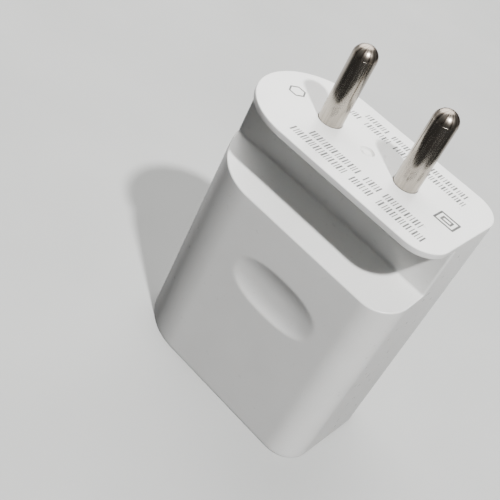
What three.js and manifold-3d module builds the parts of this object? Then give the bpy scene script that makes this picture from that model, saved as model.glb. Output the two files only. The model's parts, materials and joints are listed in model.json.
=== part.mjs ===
// Two-port USB wall charger with two fixed round mains pins, in millimetres.
// The origin is the middle of the USB end, where the charger stands on its rim. +Z runs to the pins,
// +X to the flat end of the section, and -Y is the side with the finger notch.
import * as THREE from 'three';
import * as BufferGeometryUtils from 'three/addons/utils/BufferGeometryUtils.js';
import Module from 'manifold-3d';

const wasm = await Module();
wasm.setup();

// ---- Driving dimensions ----
const SECTION_LENGTH = 49.6;
const SECTION_DEPTH = 28.4;
const BODY_LENGTH = 59.4;
const CORNER_RADIUS = 6.3;
const WALL = 2.2;
const RIM_WALL = 1.35;

// Finger notch under the socket plate, open to the front and to both ends
const NOTCH_FACE_FROM_CENTRE = 3.8;
const NOTCH_WALL = 1.5;
const LEDGE_DROP = 15.5;
const LEDGE_SLOPE = 0.24;
const LIP_THICKNESS = 1.3;

const DIMPLE = { length: 21, height: 9.6, depth: 0.5, fromLedge: 13.7 };

// Mains pins
const PIN_PITCH = 19;
const PIN_DIAMETER = 5;
const PIN_REACH = 16.6;
const PIN = {
  shank: 4, seat: 1.2, tail: 12.6, dome: 2.3, clearance: 0.1, topWall: 3, bossWall: 1.6,
};

// Face plate with its snap arms
const FACE = { recess: 0.4, thickness: 2, clearance: 0.15, skirtHeight: 2.4, skirtWall: 1.1 };
const SNAP = {
  width: 5, thickness: 1, length: 6.6, barb: 0.6, barbHeight: 1.6, barbFromEnd: 0.1, gap: 0.3, spread: 18,
};
const SKIRT_CLEARANCE = 0.25;

// USB sockets
const PORT_PITCH = 11.2;
const PORT_CENTRE_X = 1.2;
const PORT_CENTRE_Y = -0.7;
const PORT = { width: 12.8, height: 5.5, corner: 1 };
const SHELL = {
  width: 13.1, height: 5.7, wall: 0.3, depth: 10.2, gap: 0.3, corner: 0.5, legWidth: 1.2, legs: [5, 9],
};
const TONGUE = { width: 11.1, thickness: 1.84, setBack: 2.3, side: 0.62, baseDepth: 2.6, fit: 0.1 };
const CONTACT = {
  width: 1, thickness: 0.25, pitches: [-3.5, -1, 1, 3.5], setBack: 0.8, firstTurn: 0.6, turnStep: 1.3,
};

// Circuit board
const BOARD = { thickness: 1.6, socketGap: 0.65, fromFace: 3.6, belowTop: 7.4, edgeGap: 0.3 };
const RIB = { thickness: 1.4, bite: 1.4, gap: 0.2, fromFace: 11.6, belowTop: 9.4 };
const LEAD = { size: 0.6, hole: 1, proud: 1.1 };
const STAND_OFF = 0.3;

// Transformer
const CORE = { width: 16, depth: 4.8, back: 2.4, half: 7.2, sideLeg: 2.2, centreLeg: 4.6, airGap: 0.3 };
const BOBBIN = {
  fit: 0.2, wall: 0.8, flange: 0.9, flangeX: 5.6, flangeY: 6.2, endGap: 0.2, rail: 4, railHeight: 1.8,
};
const WINDING = { x: 5.4, y: 5.9, corner: 1.6, gap: 0.1, endGap: 0.15 };
const TRANSFORMER = { x: 2, pinPitch: 3.2, pinsPerRail: 4 };

// Electrolytic capacitors, standing on the board
const CAP = {
  radius: 4.1, canRadius: 3.7, height: 12, sleeveGap: 0.15, leadPitch: 3.5, lip: 0.5, groove: 0.35,
  grooveStart: 1.6, grooveHalf: 0.4, foot: 0.2, footRound: 0.5, shoulder: 0.6, sleeveFoot: 0.5,
};
const CAP_SPACING = 9.6;
const CAP_ABOVE_SOCKETS = 8.6;
const CAP_GAP = 2.2;
const TRANSFORMER_ABOVE_SOCKETS = 14.6;

// Small components
const CONTACT_LEAF = { width: 3, thickness: 0.5, lap: 1.8, drop: 1.2, gap: 0.15 };
const UPPER_ROW_GAP = 1.4;
const BRIDGE = { ribGap: 0.5, size: [8.2, 3.2, 6.4], leadX: 5.1 };
const OPTO = { x: 6.4, size: [4.6, 3.4, 6.4], leadX: 2.54 };
const FUSE_RESISTOR = { radius: 1.7, length: 8.4, endRound: 0.35, leadPitch: 11.6 };
const CHOKE = {
  x: 14.8, radius: 2.9, height: 7.6, flange: 1, waist: 1.5, coil: 2.5, coilGap: 0.1, leadPitch: 3,
};
const Y_CAP = { x: -2.6, radius: 3.4, thickness: 2.4, edgeRound: 0.7, leadPitch: 5 };
const DIODE = { fromFlatEnd: 8.6, aboveFace: 9.3, radius: 2.4, length: 7.6, leadPitch: 9.8 };
const CONTROLLER = { x: 2, size: [4.9, 1.5, 3.9], legs: 4, legPitch: 1.27, legReach: 1, legWidth: 0.4 };
const CHIP = { size: [2, 0.6, 1.25], gap: 0.15, pitch: 3, x: -10 };

// ---- Places that follow from the dimensions ----
const HALF_LENGTH = SECTION_LENGTH / 2;
const HALF_DEPTH = SECTION_DEPTH / 2;
const ROUND_CENTRE_X = HALF_DEPTH - HALF_LENGTH;
const FLAT_MIDDLE_X = (ROUND_CENTRE_X + HALF_LENGTH - CORNER_RADIUS) / 2;
const NOTCH_Y = -NOTCH_FACE_FROM_CENTRE;
const LEDGE_FRONT_Z = BODY_LENGTH - LEDGE_DROP;
const LEDGE_BACK_Z = LEDGE_FRONT_Z + LEDGE_SLOPE * (HALF_DEPTH + NOTCH_Y);
const LIP_Z = BODY_LENGTH - LIP_THICKNESS;
const FACE_BACK_Z = FACE.recess + FACE.thickness;
const SEAT_Z = FACE_BACK_Z + STAND_OFF;
const SHELL_FRONT_Z = FACE_BACK_Z + SHELL.gap;
const SHELL_BACK_Z = SHELL_FRONT_Z + SHELL.depth;
const PORTS_X = [PORT_CENTRE_X - PORT_PITCH / 2, PORT_CENTRE_X + PORT_PITCH / 2];
const PINS_X = [-PIN_PITCH / 2, PIN_PITCH / 2];
const PIN_TAIL_Z = BODY_LENGTH - PIN.tail;
const BOARD_FRONT_Y = PORT_CENTRE_Y + SHELL.width / 2 + BOARD.socketGap;
const BOARD_BACK_Y = BOARD_FRONT_Y + BOARD.thickness;
const BOARD_BOTTOM_Z = FACE_BACK_Z + BOARD.fromFace;
const BOARD_TOP_Z = BODY_LENGTH - BOARD.belowTop;
const RIB_BOTTOM_Z = FACE_BACK_Z + RIB.fromFace;
const RIB_TOP_Z = BODY_LENGTH - RIB.belowTop;
const LEAF_BOTTOM_Z = PIN_TAIL_Z - CONTACT_LEAF.drop;
const UPPER_ROW_Z = LEAF_BOTTOM_Z - UPPER_ROW_GAP - BRIDGE.size[2] / 2;
const TRANSFORMER_Z = SHELL_BACK_Z + TRANSFORMER_ABOVE_SOCKETS;
const CAP_BOTTOM_Z = SHELL_BACK_Z + CAP_ABOVE_SOCKETS;
const DIODE_X = HALF_LENGTH - DIODE.fromFlatEnd;
const DIODE_Z = FACE_BACK_Z + DIODE.aboveFace;
const PARTS_Y = BOARD_FRONT_Y - STAND_OFF;

// How finely round shapes are stepped, and how far a cutting tool runs past what it cuts
const ARC_STEPS = 8;
const ROUND_END_STEPS = 32;
const SMALL_ARC_STEPS = 4;
const TURNED_STEPS = 24;
const SMALL_TURNED_STEPS = 20;
const DOME_STEPS = 6;
const OVER = 1;
const LEAST_CORNER = 0.5;
const MERGE_DISTANCE = 1e-5;

// ---- Materials ----
function finish(color, roughness, metalness = 0) {
  return new THREE.MeshStandardMaterial({ color, roughness, metalness });
}

const whiteShell = () => finish(0xe8e8e4, 0.38);
const turquoise = () => finish(0x2f93a3, 0.5);
const nickel = () => finish(0xb9b4aa, 0.22, 1);
const tinned = () => finish(0xc4c4c0, 0.3, 1);
const bronze = () => finish(0xb98a4a, 0.35, 1);
const blackPlastic = () => finish(0x1b1b1d, 0.5);
const ferrite = () => finish(0x3a3b3d, 0.7);
const tape = () => finish(0xd9b63a, 0.45);
const laminate = () => finish(0x8a6a2c, 0.55);
const sleeveBlue = () => finish(0x22407a, 0.4);
const aluminium = () => finish(0xc9cacb, 0.35, 1);
const ceramicBlue = () => finish(0x2f6fae, 0.45);
const resistorGreen = () => finish(0x5f8f6a, 0.6);
const copper = () => finish(0xb5652a, 0.35, 1);

// ---- Solids ----
function toSolid(geometry) {
  const bare = geometry.clone();
  bare.deleteAttribute('normal');
  bare.deleteAttribute('uv');
  const merged = BufferGeometryUtils.mergeVertices(bare, MERGE_DISTANCE);
  const mesh = new wasm.Mesh({
    numProp: 3,
    vertProperties: new Float32Array(merged.attributes.position.array),
    triVerts: new Uint32Array(merged.index.array),
  });
  return new wasm.Manifold(mesh);
}

function toGeometry(solid) {
  const mesh = solid.getMesh();
  const geometry = new THREE.BufferGeometry();
  geometry.setAttribute('position', new THREE.BufferAttribute(new Float32Array(mesh.vertProperties), 3));
  geometry.setIndex(new THREE.BufferAttribute(new Uint32Array(mesh.triVerts), 1));
  geometry.computeVertexNormals();
  return geometry;
}

const join = (first, ...others) => others.reduce((whole, part) => whole.add(part), first);
const cut = (first, ...others) => others.reduce((whole, part) => whole.subtract(part), first);

// A box from its lowest to its highest corner
function block(low, high) {
  const size = high.map((value, axis) => value - low[axis]);
  const geometry = new THREE.BoxGeometry(...size);
  geometry.translate(...low.map((value, axis) => value + size[axis] / 2));
  return toSolid(geometry);
}

// A box by its middle and its sizes along X, Y and Z
function centredBlock(middle, size) {
  return block(middle.map((m, axis) => m - size[axis] / 2), middle.map((m, axis) => m + size[axis] / 2));
}

function arc(x, y, radius, from, to, steps) {
  const points = [];
  for (let i = 0; i <= steps; i += 1) {
    const angle = from + ((to - from) * i) / steps;
    points.push(new THREE.Vector2(x + radius * Math.cos(angle), y + radius * Math.sin(angle)));
  }
  return points;
}

// The charger's section, moved inwards by inset: flat towards +X with two corners, half round towards -X
function sectionPoints(inset) {
  const corner = Math.max(CORNER_RADIUS - inset, LEAST_CORNER);
  const x = HALF_LENGTH - inset - corner;
  const y = HALF_DEPTH - inset - corner;
  return [
    ...arc(x, -y, corner, -Math.PI / 2, 0, ARC_STEPS),
    ...arc(x, y, corner, 0, Math.PI / 2, ARC_STEPS),
    ...arc(ROUND_CENTRE_X, 0, HALF_DEPTH - inset, Math.PI / 2, (Math.PI * 3) / 2, ROUND_END_STEPS),
  ];
}

function extrusion(points, depth) {
  return new THREE.ExtrudeGeometry(new THREE.Shape(points), { depth, bevelEnabled: false });
}

function prism(points, fromZ, toZ) {
  const geometry = extrusion(points, toZ - fromZ);
  geometry.translate(0, 0, fromZ);
  return toSolid(geometry);
}

const sectionPrism = (inset, fromZ, toZ) => prism(sectionPoints(inset), fromZ, toZ);

// A profile drawn in Y and Z, carried along X
function prismAlongX(profile, fromX, toX) {
  const points = profile.map(([y, z]) => new THREE.Vector2(y, z));
  const geometry = extrusion(points, toX - fromX);
  const turn = new THREE.Matrix4();
  turn.makeBasis(new THREE.Vector3(0, 1, 0), new THREE.Vector3(0, 0, 1), new THREE.Vector3(1, 0, 0));
  geometry.applyMatrix4(turn);
  geometry.translate(fromX, 0, 0);
  return toSolid(geometry);
}

function roundedRectangle(x, y, width, height, radius) {
  const px = width / 2 - radius;
  const py = height / 2 - radius;
  const quarter = Math.PI / 2;
  return [
    ...arc(x + px, y - py, radius, -quarter, 0, SMALL_ARC_STEPS),
    ...arc(x + px, y + py, radius, 0, quarter, SMALL_ARC_STEPS),
    ...arc(x - px, y + py, radius, quarter, 2 * quarter, SMALL_ARC_STEPS),
    ...arc(x - px, y - py, radius, 2 * quarter, 3 * quarter, SMALL_ARC_STEPS),
  ];
}

// A turned piece. The profile is a list of [radius, height] from the axis to the axis, going up,
// and place is a matrix that stands it where it belongs.
function turned(profile, steps, place) {
  const geometry = new THREE.LatheGeometry(profile.map(([r, h]) => new THREE.Vector2(r, h)), steps);
  geometry.applyMatrix4(place);
  return toSolid(geometry);
}

// Lathe axis to +Z, to -Y (standing up from the board's front) and to +X
const standing = (x, y, z) => new THREE.Matrix4().makeTranslation(x, y, z).multiply(
  new THREE.Matrix4().makeRotationX(Math.PI / 2));
const onBoard = (x, z) => new THREE.Matrix4().makeTranslation(x, PARTS_Y, z).multiply(
  new THREE.Matrix4().makeRotationX(Math.PI));
const alongX = (x, y, z) => new THREE.Matrix4().makeTranslation(x, y, z).multiply(
  new THREE.Matrix4().makeRotationZ(-Math.PI / 2));

function rod(radius, from, to, steps, place) {
  return turned([[0, from], [radius, from], [radius, to], [0, to]], steps, place);
}

// ---- The model ----
const charger = new THREE.Group();
charger.name = 'usb_wall_charger';

function addPiece(name, solid, material) {
  const mesh = new THREE.Mesh(toGeometry(solid), material);
  mesh.name = name;
  charger.add(mesh);
}

// Every lead that passes the board is noted here, so that the board gets a hole for it
const boardHoles = [];

function lead(x, z, fromY = PARTS_Y - OVER) {
  boardHoles.push([x, z, LEAD.hole]);
  return block(
    [x - LEAD.size / 2, fromY, z - LEAD.size / 2],
    [x + LEAD.size / 2, BOARD_BACK_Y + LEAD.proud, z + LEAD.size / 2],
  );
}

// ---- Housing ----
const snapPlaces = [-1, 1].flatMap((side) => [-1, 1].map((end) => ({
  side,
  x: FLAT_MIDDLE_X + (end * SNAP.spread) / 2,
})));
const BARB_TOP_Z = FACE_BACK_Z + SNAP.length - SNAP.barbFromEnd;

// A block beside the flat front or back wall, between two distances from the middle plane
function besideWall(side, x, width, innerY, outerY, fromZ, toZ) {
  const ys = [side * innerY, side * outerY].sort((a, b) => a - b);
  return block([x - width / 2, ys[0], fromZ], [x + width / 2, ys[1], toZ]);
}

function notchCut() {
  const frontY = -HALF_DEPTH - OVER;
  return prismAlongX([
    [frontY, LEDGE_FRONT_Z - LEDGE_SLOPE * OVER],
    [NOTCH_Y, LEDGE_BACK_Z],
    [NOTCH_Y, LIP_Z],
    [frontY, LIP_Z],
  ], -HALF_LENGTH - OVER, HALF_LENGTH + OVER);
}

function dimpleCut() {
  const geometry = new THREE.SphereGeometry(1, 32, 16);
  geometry.rotateX(Math.PI / 2);
  geometry.scale(DIMPLE.length / 2, DIMPLE.depth, DIMPLE.height / 2);
  geometry.translate(FLAT_MIDDLE_X, -HALF_DEPTH, LEDGE_FRONT_Z - DIMPLE.fromLedge);
  return toSolid(geometry);
}

function pinBoss(x) {
  const radius = PIN.shank / 2 + PIN.bossWall;
  const fromZ = PIN_TAIL_Z + CONTACT_LEAF.lap + STAND_OFF;
  return rod(radius, fromZ, BODY_LENGTH - OVER, TURNED_STEPS, standing(x, 0, 0));
}

function pinHole(x) {
  const shoulderZ = BODY_LENGTH - PIN.seat - PIN.clearance;
  return turned([
    [0, PIN_TAIL_Z - OVER],
    [PIN.shank / 2 + PIN.clearance, PIN_TAIL_Z - OVER],
    [PIN.shank / 2 + PIN.clearance, shoulderZ],
    [PIN_DIAMETER / 2 + PIN.clearance, shoulderZ],
    [PIN_DIAMETER / 2 + PIN.clearance, BODY_LENGTH + OVER],
    [0, BODY_LENGTH + OVER],
  ], TURNED_STEPS, standing(x, 0, 0));
}

// Where the inner wall of the round end is at height y across the section, for a given inset
function roundEndX(inset, y) {
  const radius = HALF_DEPTH - inset;
  return ROUND_CENTRE_X - Math.sqrt(Math.max(radius * radius - y * y, 0));
}

const BOARD_MAX_X = HALF_LENGTH - WALL - BOARD.edgeGap;
const BOARD_MIN_X = roundEndX(WALL + BOARD.edgeGap, BOARD_BACK_Y);

// Four ribs that hold the two long edges of the board
function boardRibs() {
  const front = [BOARD_FRONT_Y - RIB.gap - RIB.thickness, BOARD_FRONT_Y - RIB.gap];
  const back = [BOARD_BACK_Y + RIB.gap, BOARD_BACK_Y + RIB.gap + RIB.thickness];
  return [front, back].flatMap(([fromY, toY]) => [
    block([BOARD_MAX_X - RIB.bite, fromY, RIB_BOTTOM_Z], [HALF_LENGTH - WALL + RIB.gap, toY, RIB_TOP_Z]),
    block(
      [roundEndX(WALL - RIB.gap, fromY), fromY, RIB_BOTTOM_Z],
      [BOARD_MIN_X + RIB.bite, toY, RIB_TOP_Z],
    ),
  ]);
}

function housing() {
  const outer = sectionPrism(0, 0, BODY_LENGTH);
  const mouth = sectionPrism(RIM_WALL, -OVER, SEAT_Z);
  const lowerRoom = sectionPrism(WALL, SEAT_Z - OVER, LEDGE_FRONT_Z - WALL);
  const neckFront = block(
    [-HALF_LENGTH, -HALF_DEPTH, LEDGE_FRONT_Z - WALL - OVER],
    [HALF_LENGTH, NOTCH_Y + NOTCH_WALL, BODY_LENGTH],
  );
  const neckBehindNotch = sectionPrism(WALL, LEDGE_FRONT_Z - WALL - OVER, BODY_LENGTH - PIN.topWall);
  const neckRoom = cut(neckBehindNotch, neckFront);
  const pockets = snapPlaces.map(({ side, x }) => besideWall(
    side, x, SNAP.width + 2 * SNAP.gap,
    HALF_DEPTH - WALL - OVER, HALF_DEPTH - WALL - SKIRT_CLEARANCE + SNAP.barb + SNAP.gap,
    BARB_TOP_Z - SNAP.barbHeight - SNAP.gap, BARB_TOP_Z + SNAP.gap,
  ));
  const room = join(lowerRoom, neckRoom);
  const inside = join(...boardRibs(), ...PINS_X.map(pinBoss));
  const ribbedRoom = cut(room, inside);
  return cut(outer, mouth, ribbedRoom, ...pockets, notchCut(), dimpleCut(), ...PINS_X.map(pinHole));
}

// ---- Face plate ----
function facePlate() {
  const plate = sectionPrism(RIM_WALL + FACE.clearance, FACE.recess, FACE_BACK_Z);
  const skirtInset = WALL + SKIRT_CLEARANCE;
  const skirtTopZ = FACE_BACK_Z + FACE.skirtHeight;
  const skirt = cut(
    sectionPrism(skirtInset, FACE_BACK_Z - FACE.thickness / 2, skirtTopZ),
    sectionPrism(skirtInset + FACE.skirtWall, FACE.recess, skirtTopZ + OVER),
  );
  const outerY = HALF_DEPTH - skirtInset;
  const arms = snapPlaces.flatMap(({ side, x }) => [
    besideWall(side, x, SNAP.width, outerY - SNAP.thickness, outerY, FACE_BACK_Z - OVER,
      FACE_BACK_Z + SNAP.length),
    besideWall(side, x, SNAP.width, outerY - SNAP.thickness / 2, outerY + SNAP.barb,
      BARB_TOP_Z - SNAP.barbHeight, BARB_TOP_Z),
  ]);
  const openings = PORTS_X.map((x) => prism(
    roundedRectangle(x, PORT_CENTRE_Y, PORT.height, PORT.width, PORT.corner), -OVER, FACE_BACK_Z + OVER));
  return cut(join(plate, skirt, ...arms), ...openings);
}

// ---- Mains pins and their contact leaves ----
function mainsPin(x) {
  const tipZ = BODY_LENGTH + PIN_REACH;
  const radius = PIN_DIAMETER / 2;
  const dome = [];
  for (let i = 0; i < DOME_STEPS; i += 1) {
    const angle = ((Math.PI / 2) * i) / DOME_STEPS;
    dome.push([radius * Math.cos(angle), tipZ - PIN.dome + PIN.dome * Math.sin(angle)]);
  }
  dome.push([0, tipZ]);
  return turned([
    [0, PIN_TAIL_Z],
    [PIN.shank / 2, PIN_TAIL_Z],
    [PIN.shank / 2, BODY_LENGTH - PIN.seat],
    [radius, BODY_LENGTH - PIN.seat],
    ...dome,
  ], TURNED_STEPS, standing(x, 0, 0));
}

function contactLeaf(x) {
  const y = PIN.shank / 2 + CONTACT_LEAF.gap;
  const topZ = PIN_TAIL_Z + CONTACT_LEAF.lap;
  const bottomZ = LEAF_BOTTOM_Z;
  const leaf = prismAlongX([
    [y, topZ],
    [y, bottomZ],
    [PARTS_Y, bottomZ],
    [PARTS_Y, bottomZ + CONTACT_LEAF.thickness],
    [y + CONTACT_LEAF.thickness, bottomZ + CONTACT_LEAF.thickness],
    [y + CONTACT_LEAF.thickness, topZ],
  ], x - CONTACT_LEAF.width / 2, x + CONTACT_LEAF.width / 2);
  return join(leaf, lead(x, bottomZ + CONTACT_LEAF.thickness / 2));
}

// ---- USB sockets ----
function usbShell(x) {
  const outline = (grow) => roundedRectangle(
    x, PORT_CENTRE_Y, SHELL.height + 2 * grow, SHELL.width + 2 * grow, SHELL.corner + grow);
  const tube = cut(
    prism(outline(0), SHELL_FRONT_Z, SHELL_BACK_Z),
    prism(outline(-SHELL.wall), SHELL_FRONT_Z - OVER, SHELL_BACK_Z + OVER),
  );
  const wallY = PORT_CENTRE_Y + SHELL.width / 2 - SHELL.wall;
  const legs = SHELL.legs.map((distance) => {
    const z = SHELL_FRONT_Z + distance;
    boardHoles.push([x, z, SHELL.legWidth + 2 * (LEAD.hole - LEAD.size)]);
    return block(
      [x - SHELL.wall / 2, wallY, z - SHELL.legWidth / 2],
      [x + SHELL.wall / 2, BOARD_BACK_Y + LEAD.proud, z + SHELL.legWidth / 2],
    );
  });
  return join(tube, ...legs);
}

const TONGUE_LOW_X = -(SHELL.height / 2 - SHELL.wall) + TONGUE.side;
const TONGUE_HIGH_X = TONGUE_LOW_X + TONGUE.thickness;

function usbInsulator(x) {
  const halfX = SHELL.height / 2 - SHELL.wall - TONGUE.fit;
  const halfY = SHELL.width / 2 - SHELL.wall - TONGUE.fit;
  const baseFrontZ = SHELL_BACK_Z - TONGUE.baseDepth;
  const base = block(
    [x - halfX, PORT_CENTRE_Y - halfY, baseFrontZ],
    [x + halfX, PORT_CENTRE_Y + halfY, SHELL_BACK_Z],
  );
  const tongue = block(
    [x + TONGUE_LOW_X, PORT_CENTRE_Y - TONGUE.width / 2, SHELL_FRONT_Z + TONGUE.setBack],
    [x + TONGUE_HIGH_X, PORT_CENTRE_Y + TONGUE.width / 2, baseFrontZ + OVER],
  );
  const channels = CONTACT.pitches.map((pitch) => block(
    [x + TONGUE_HIGH_X, PORT_CENTRE_Y + pitch - CONTACT.width / 2 - TONGUE.fit, baseFrontZ - OVER],
    [x + halfX + OVER, PORT_CENTRE_Y + pitch + CONTACT.width / 2 + TONGUE.fit, SHELL_BACK_Z + OVER],
  ));
  return cut(join(base, tongue), ...channels);
}

// One contact: along the tongue, out of the back, and over to the board.
// The one furthest from the board turns last.
function usbContact(x, index) {
  const y = PORT_CENTRE_Y + CONTACT.pitches[index];
  const turns = CONTACT.pitches.length - 1 - index;
  const turnZ = SHELL_BACK_Z + CONTACT.firstTurn + turns * CONTACT.turnStep;
  const lowX = x + TONGUE_HIGH_X + TONGUE.fit;
  const highX = lowX + CONTACT.thickness;
  const frontZ = SHELL_FRONT_Z + TONGUE.setBack + CONTACT.setBack;
  const half = CONTACT.width / 2;
  const middleX = (lowX + highX) / 2;
  boardHoles.push([middleX, turnZ + half, LEAD.hole]);
  return join(
    block([lowX, y - half, frontZ], [highX, y + half, turnZ + CONTACT.width]),
    block([lowX, y - half, turnZ], [highX, BOARD_FRONT_Y - STAND_OFF, turnZ + CONTACT.width]),
    block(
      [lowX, BOARD_FRONT_Y - OVER, turnZ + half - LEAD.size / 2],
      [highX, BOARD_BACK_Y + LEAD.proud, turnZ + half + LEAD.size / 2],
    ),
  );
}

// ---- Transformer ----
const TRANSFORMER_Y = PARTS_Y - BOBBIN.flangeY;

// An E-shaped half: up is 1 for the half towards the pins and -1 for the other
function coreHalf(up) {
  const { x } = TRANSFORMER;
  const z = TRANSFORMER_Z;
  const meetZ = CORE.airGap / 2;
  const endZ = meetZ + CORE.half;
  const bar = (fromX, toX, fromZ, toZ) => {
    const zs = [z + up * fromZ, z + up * toZ].sort((a, b) => a - b);
    return block(
      [x + fromX, TRANSFORMER_Y - CORE.depth / 2, zs[0]],
      [x + toX, TRANSFORMER_Y + CORE.depth / 2, zs[1]],
    );
  };
  const half = CORE.width / 2;
  return join(
    bar(-half, half, endZ - CORE.back, endZ),
    bar(-half, -half + CORE.sideLeg, meetZ, endZ),
    bar(half - CORE.sideLeg, half, meetZ, endZ),
    bar(-CORE.centreLeg / 2, CORE.centreLeg / 2, meetZ, endZ),
  );
}

const BOBBIN_HALF_LENGTH = CORE.airGap / 2 + CORE.half - CORE.back - BOBBIN.endGap;

function bobbin() {
  const { x, pinPitch, pinsPerRail } = TRANSFORMER;
  const y = TRANSFORMER_Y;
  const z = TRANSFORMER_Z;
  const boreX = CORE.centreLeg / 2 + BOBBIN.fit;
  const boreY = CORE.depth / 2 + BOBBIN.fit;
  const around = (halfX, halfY, fromZ, toZ) => block(
    [x - halfX, y - halfY, z + fromZ],
    [x + halfX, y + halfY, z + toZ],
  );
  const end = BOBBIN_HALF_LENGTH;
  const railEnd = end + BOBBIN.rail;
  const pinOffset = ((pinsPerRail - 1) * pinPitch) / 2;
  const pieces = [around(boreX + BOBBIN.wall, boreY + BOBBIN.wall, -end, end)];
  for (const up of [-1, 1]) {
    const flange = [up * end, up * (end - BOBBIN.flange)].sort((a, b) => a - b);
    pieces.push(around(BOBBIN.flangeX, BOBBIN.flangeY, ...flange));
    const rail = [up * railEnd, up * (end - BOBBIN.flange)].sort((a, b) => a - b);
    pieces.push(block(
      [x - pinOffset - LEAD.hole, y + BOBBIN.flangeY - BOBBIN.railHeight, z + rail[0]],
      [x + pinOffset + LEAD.hole, y + BOBBIN.flangeY, z + rail[1]],
    ));
    for (let i = 0; i < pinsPerRail; i += 1) {
      pieces.push(lead(x - pinOffset + i * pinPitch, z + up * (railEnd - LEAD.hole)));
    }
  }
  return cut(join(...pieces), around(boreX, boreY, -end - OVER, end + OVER));
}

function transformerWinding() {
  const { x } = TRANSFORMER;
  const z = TRANSFORMER_Z;
  const inX = CORE.centreLeg / 2 + BOBBIN.fit + BOBBIN.wall + WINDING.gap;
  const inY = CORE.depth / 2 + BOBBIN.fit + BOBBIN.wall + WINDING.gap;
  const half = BOBBIN_HALF_LENGTH - BOBBIN.flange - WINDING.endGap;
  const outline = roundedRectangle(x, TRANSFORMER_Y, 2 * WINDING.x, 2 * WINDING.y, WINDING.corner);
  return cut(
    prism(outline, z - half, z + half),
    centredBlock([x, TRANSFORMER_Y, z], [2 * inX, 2 * inY, 2 * (half + OVER)]),
  );
}

// ---- Capacitors ----
function capacitorCan(x, z) {
  const r = CAP.canRadius;
  const h = CAP.height - CAP.lip;
  const body = turned([
    [0, CAP.foot],
    [r - CAP.footRound, CAP.foot],
    [r, CAP.foot + CAP.footRound],
    [r, CAP.grooveStart],
    [r - CAP.groove, CAP.grooveStart + CAP.grooveHalf],
    [r, CAP.grooveStart + 2 * CAP.grooveHalf],
    [r, h - CAP.shoulder],
    [r - CAP.shoulder, h],
    [0, h],
  ], TURNED_STEPS, onBoard(x, z));
  const legs = [-1, 1].map((side) => lead(x, z + (side * CAP.leadPitch) / 2));
  return join(body, ...legs);
}

function capacitorSleeve(x, z) {
  const inner = CAP.canRadius + CAP.sleeveGap;
  const foot = CAP.sleeveFoot;
  const top = CAP.height;
  const lipRadius = CAP.canRadius - CAP.lip;
  const lipBottom = top - CAP.lip + CAP.sleeveGap;
  return turned([
    [inner, foot],
    [CAP.radius, foot],
    [CAP.radius, top - CAP.lip],
    [CAP.radius - CAP.lip, top],
    [lipRadius, top],
    [lipRadius, lipBottom],
    [CAP.canRadius, lipBottom],
    [inner, lipBottom - CAP.sleeveGap],
    [inner, foot],
  ], TURNED_STEPS, onBoard(x, z));
}

// ---- Small components ----
// A moulded body on the board's front with a lead at each of its corners
function mouldedPart(x, { size, leadX }) {
  const [, height, length] = size;
  const z = UPPER_ROW_Z;
  const leadZ = length - LEAD.hole;
  const body = centredBlock([x, PARTS_Y - height / 2, z], size);
  const legs = [-1, 1].flatMap((sideX) => [-1, 1].map((sideZ) => lead(
    x + (sideX * leadX) / 2, z + (sideZ * leadZ) / 2, PARTS_Y - height / 2)));
  return join(body, ...legs);
}

// A wire lead that runs out along an axis and then bends down to the board
function bentLead(x, y, z, reachX, reachZ) {
  const half = LEAD.size / 2;
  const low = [Math.min(x, x + reachX) - half, y - half, Math.min(z, z + reachZ) - half];
  const high = [Math.max(x, x + reachX) + half, y + half, Math.max(z, z + reachZ) + half];
  return join(block(low, high), lead(x + reachX, z + reachZ, y - half));
}

function fusibleResistor() {
  const { radius, length, endRound, leadPitch } = FUSE_RESISTOR;
  const y = PARTS_Y - radius;
  const z = PIN_TAIL_Z;
  const half = length / 2;
  const body = turned([
    [0, -half],
    [radius - endRound, -half],
    [radius, -half + endRound],
    [radius, half - endRound],
    [radius - endRound, half],
    [0, half],
  ], SMALL_TURNED_STEPS, alongX(0, y, z));
  return join(body, bentLead(0, y, z, -leadPitch / 2, 0), bentLead(0, y, z, leadPitch / 2, 0));
}

function rectifierDiode() {
  const { radius, length, leadPitch } = DIODE;
  const x = DIODE_X;
  const y = PARTS_Y - radius;
  const z = DIODE_Z;
  const body = rod(radius, -length / 2, length / 2, SMALL_TURNED_STEPS, standing(x, y, z));
  return join(body, bentLead(x, y, z, 0, -leadPitch / 2), bentLead(x, y, z, 0, leadPitch / 2));
}

function chokeCore() {
  const { x, radius, height, flange, waist, leadPitch } = CHOKE;
  const z = UPPER_ROW_Z;
  const body = turned([
    [0, 0],
    [radius, 0],
    [radius, flange],
    [waist, flange],
    [waist, height - flange],
    [radius, height - flange],
    [radius, height],
    [0, height],
  ], TURNED_STEPS, onBoard(x, z));
  const legs = [-1, 1].map((side) => lead(x + (side * leadPitch) / 2, z, PARTS_Y - flange / 2));
  return join(body, ...legs);
}

function chokeCoil() {
  const { x, height, flange, waist, coil, coilGap } = CHOKE;
  const z = UPPER_ROW_Z;
  const low = flange + coilGap;
  const high = height - flange - coilGap;
  const inner = waist + coilGap;
  const ring = [[inner, low], [coil, low], [coil, high], [inner, high], [inner, low]];
  return turned(ring, TURNED_STEPS, onBoard(x, z));
}

function yCapacitor() {
  const { x, radius, thickness, edgeRound, leadPitch } = Y_CAP;
  const z = UPPER_ROW_Z;
  const y = PARTS_Y - radius;
  const half = thickness / 2;
  const disc = turned([
    [0, -half],
    [radius - edgeRound, -half],
    [radius, -half + edgeRound],
    [radius, half - edgeRound],
    [radius - edgeRound, half],
    [0, half],
  ], TURNED_STEPS, standing(x, y, z));
  const legs = [-1, 1].map((side) => lead(x + (side * leadPitch) / 2, z, y));
  return join(disc, ...legs);
}

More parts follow.
